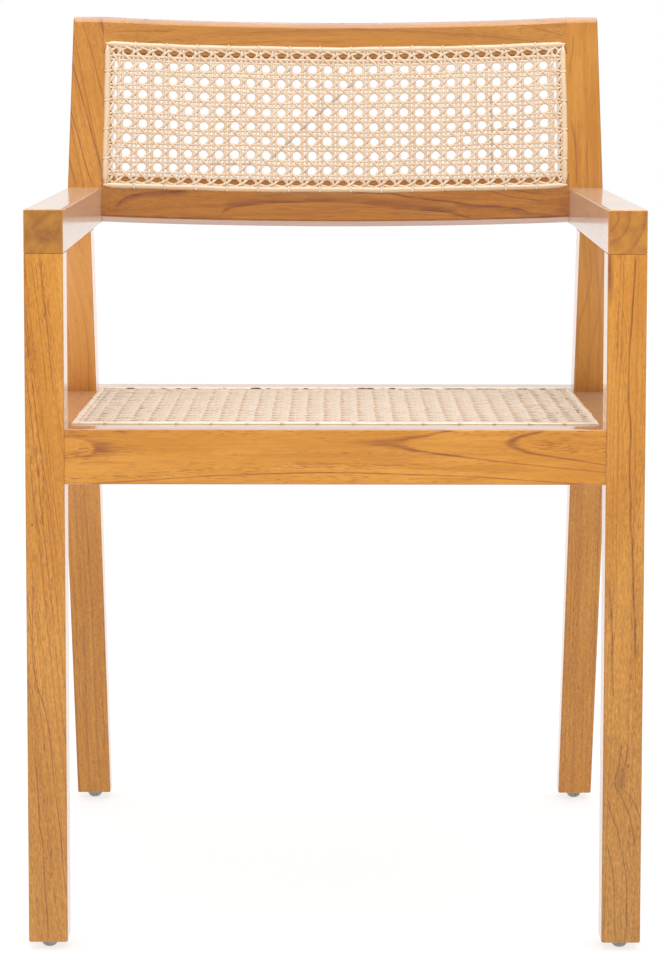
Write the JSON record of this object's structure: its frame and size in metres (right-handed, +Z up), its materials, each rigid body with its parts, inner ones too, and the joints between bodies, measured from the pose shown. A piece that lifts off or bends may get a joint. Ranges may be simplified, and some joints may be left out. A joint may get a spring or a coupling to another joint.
{
  "type": "rattan dining chair",
  "caption": "Dining armchair: lacquered wood frame with slanted rear legs, a bowed floating back and a seat woven in open six-way cane, standing on small glides.",
  "frame": {"origin": "on the floor, in the middle of the chair's footprint", "axes": "+Z up, the chair faces -Y, +X to the right of someone who looks at its front"},
  "size_m": [0.55, 0.556, 0.835],
  "materials": {
    "lacquered_wood": "glossy clear lacquer over honey-coloured hardwood",
    "dowel_wood": "raw fluted dowel, glued",
    "woven_cane": "split rattan peel, satin",
    "binder_cane": "flat rattan peel, satin",
    "glide": "dull grey nickel"
  },
  "bodies": {
    "root": {"left_front_leg": "lacquered_wood", "right_front_leg": "lacquered_wood", "left_rear_leg": "lacquered_wood", "right_rear_leg": "lacquered_wood", "left_arm": "lacquered_wood", "right_arm": "lacquered_wood", "left_back_stile": "lacquered_wood", "right_back_stile": "lacquered_wood", "back_top_rail": "lacquered_wood", "back_bottom_rail": "lacquered_wood", "seat_front_rail": "lacquered_wood", "seat_rear_rail": "lacquered_wood", "seat_left_rail": "lacquered_wood", "seat_right_rail": "lacquered_wood", "front_leg_dowels": "dowel_wood", "rear_leg_dowels": "dowel_wood", "arm_back_dowels": "dowel_wood", "front_rail_dowels": "dowel_wood", "side_rail_dowels": "dowel_wood", "rear_rail_dowels": "dowel_wood", "back_rail_dowels": "dowel_wood", "back_cane_panel": "woven_cane", "seat_cane_panel": "woven_cane", "back_binder": "binder_cane", "seat_binder": "binder_cane", "leg_glides": "glide"}
  },
  "joints": []
}
